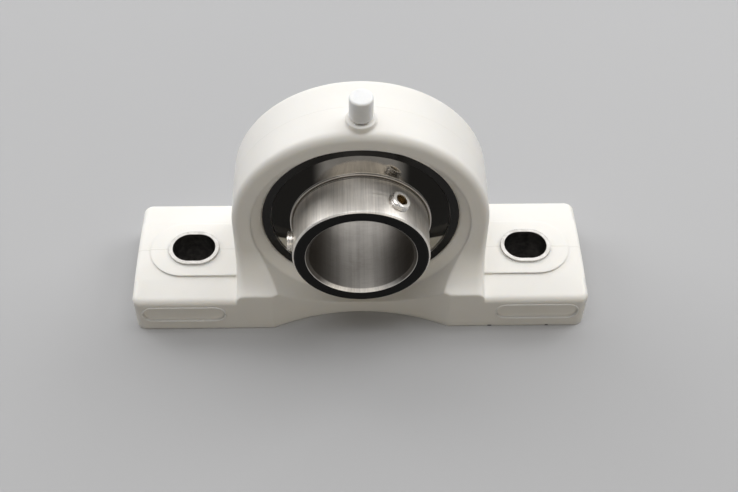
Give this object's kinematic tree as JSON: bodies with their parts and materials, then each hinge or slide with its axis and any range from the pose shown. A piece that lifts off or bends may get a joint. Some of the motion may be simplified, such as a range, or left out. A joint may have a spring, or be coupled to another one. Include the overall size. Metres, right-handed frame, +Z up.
{
  "type": "pillow block ball bearing",
  "caption": "Pillow block unit: a self-aligning ball bearing insert with set-screw locking in a white plastic foot housing with slotted bolt holes and a capped grease nipple.",
  "frame": {"origin": "centre of the flat underside, midway between the two bolt slots", "axes": "+X to the viewer's right along the foot, +Y away from the viewer along the shaft, +Z up"},
  "size_m": [0.184, 0.0567, 0.1113],
  "materials": {
    "housing_plastic": "satin moulded white",
    "cap_plastic": "satin white",
    "sleeve_steel": "turned",
    "nipple_steel": "machined",
    "ring_steel": "ground",
    "ball_steel": "polished",
    "cage_steel": "pressed sheet",
    "flinger_steel": "polished sheet",
    "shield_steel": "pressed sheet",
    "seal_rubber": "matt black",
    "screw_steel": "machined"
  },
  "bodies": {
    "pillow": {"housing": "housing_plastic", "bolt_sleeve_left": "sleeve_steel", "bolt_sleeve_right": "sleeve_steel", "nipple_body": "nipple_steel", "nipple_spring": "nipple_steel"},
    "nipple_valve": {"nipple_check_ball": "ball_steel"},
    "dust_cap": {"nipple_cap": "cap_plastic"},
    "outer_race": {"outer_ring": "ring_steel", "seal_shield_front": "shield_steel", "seal_shield_rear": "shield_steel", "seal_lip_front": "seal_rubber", "seal_lip_rear": "seal_rubber"},
    "inner_race": {"inner_ring": "ring_steel", "flinger_front": "flinger_steel", "flinger_rear": "flinger_steel"},
    "cage": {"cage_front": "cage_steel", "cage_rear": "cage_steel", "cage_rivets": "cage_steel"},
    "screw_right": {"set_screw_right": "screw_steel"},
    "screw_left": {"set_screw_left": "screw_steel"},
    "ball_1_body": {"ball_1": "ball_steel"},
    "ball_2_body": {"ball_2": "ball_steel"},
    "ball_3_body": {"ball_3": "ball_steel"},
    "ball_4_body": {"ball_4": "ball_steel"},
    "ball_5_body": {"ball_5": "ball_steel"},
    "ball_6_body": {"ball_6": "ball_steel"},
    "ball_7_body": {"ball_7": "ball_steel"},
    "ball_8_body": {"ball_8": "ball_steel"},
    "ball_9_body": {"ball_9": "ball_steel"}
  },
  "joints": [
    {"name": "self_align", "type": "hinge", "parent": "pillow", "child": "outer_race", "pos_m": [0, 0, 0.0492], "axis": [1, 0, 0], "range_deg": [-3, 3]},
    {"name": "inner_ring_spin", "type": "hinge", "parent": "outer_race", "child": "inner_race", "pos_m": [0, 0, 0.0492], "axis": [0, 1, 0], "continuous": true},
    {"name": "cage_orbit", "type": "hinge", "parent": "outer_race", "child": "cage", "pos_m": [0, 0, 0.0492], "axis": [0, 1, 0], "continuous": true},
    {"name": "ball_1_spin", "type": "hinge", "parent": "cage", "child": "ball_1_body", "pos_m": [0, 0, 0.0792], "axis": [0, 1, 0], "continuous": true},
    {"name": "ball_2_spin", "type": "hinge", "parent": "cage", "child": "ball_2_body", "pos_m": [0.01928, 0, 0.07218], "axis": [0, 1, 0], "continuous": true},
    {"name": "ball_3_spin", "type": "hinge", "parent": "cage", "child": "ball_3_body", "pos_m": [0.02954, 0, 0.05441], "axis": [0, 1, 0], "continuous": true},
    {"name": "ball_4_spin", "type": "hinge", "parent": "cage", "child": "ball_4_body", "pos_m": [0.02598, 0, 0.0342], "axis": [0, 1, 0], "continuous": true},
    {"name": "ball_5_spin", "type": "hinge", "parent": "cage", "child": "ball_5_body", "pos_m": [0.01026, 0, 0.02101], "axis": [0, 1, 0], "continuous": true},
    {"name": "ball_6_spin", "type": "hinge", "parent": "cage", "child": "ball_6_body", "pos_m": [-0.01026, 0, 0.02101], "axis": [0, 1, 0], "continuous": true},
    {"name": "ball_7_spin", "type": "hinge", "parent": "cage", "child": "ball_7_body", "pos_m": [-0.02598, 0, 0.0342], "axis": [0, 1, 0], "continuous": true},
    {"name": "ball_8_spin", "type": "hinge", "parent": "cage", "child": "ball_8_body", "pos_m": [-0.02954, 0, 0.05441], "axis": [0, 1, 0], "continuous": true},
    {"name": "ball_9_spin", "type": "hinge", "parent": "cage", "child": "ball_9_body", "pos_m": [-0.01928, 0, 0.07218], "axis": [0, 1, 0], "continuous": true},
    {"name": "screw_right_back_off", "type": "slide", "parent": "inner_race", "child": "screw_right", "axis": [0.5299, 0, 0.848], "range_m": [0, 0.004]},
    {"name": "screw_left_back_off", "type": "slide", "parent": "inner_race", "child": "screw_left", "axis": [-0.9994, 0, 0.0349], "range_m": [0, 0.004]},
    {"name": "cap_pull", "type": "slide", "parent": "pillow", "child": "dust_cap", "axis": [0, 0, 1], "range_m": [0, 0.012]},
    {"name": "check_ball_lift", "type": "slide", "parent": "pillow", "child": "nipple_valve", "axis": [0, 0, -1], "range_m": [0, 0.0008], "stiffness_N_per_m": 200, "springref_m": -0.001, "deforming": ["nipple_spring"]}
  ],
  "couplings": [
    {"joint": "cage_orbit", "follows": "inner_ring_spin", "ratio": 0.40078},
    {"joint": "ball_1_spin", "follows": "inner_ring_spin", "ratio": -2.4205},
    {"joint": "ball_2_spin", "follows": "inner_ring_spin", "ratio": -2.4205},
    {"joint": "ball_3_spin", "follows": "inner_ring_spin", "ratio": -2.4205},
    {"joint": "ball_4_spin", "follows": "inner_ring_spin", "ratio": -2.4205},
    {"joint": "ball_5_spin", "follows": "inner_ring_spin", "ratio": -2.4205},
    {"joint": "ball_6_spin", "follows": "inner_ring_spin", "ratio": -2.4205},
    {"joint": "ball_7_spin", "follows": "inner_ring_spin", "ratio": -2.4205},
    {"joint": "ball_8_spin", "follows": "inner_ring_spin", "ratio": -2.4205},
    {"joint": "ball_9_spin", "follows": "inner_ring_spin", "ratio": -2.4205}
  ]
}
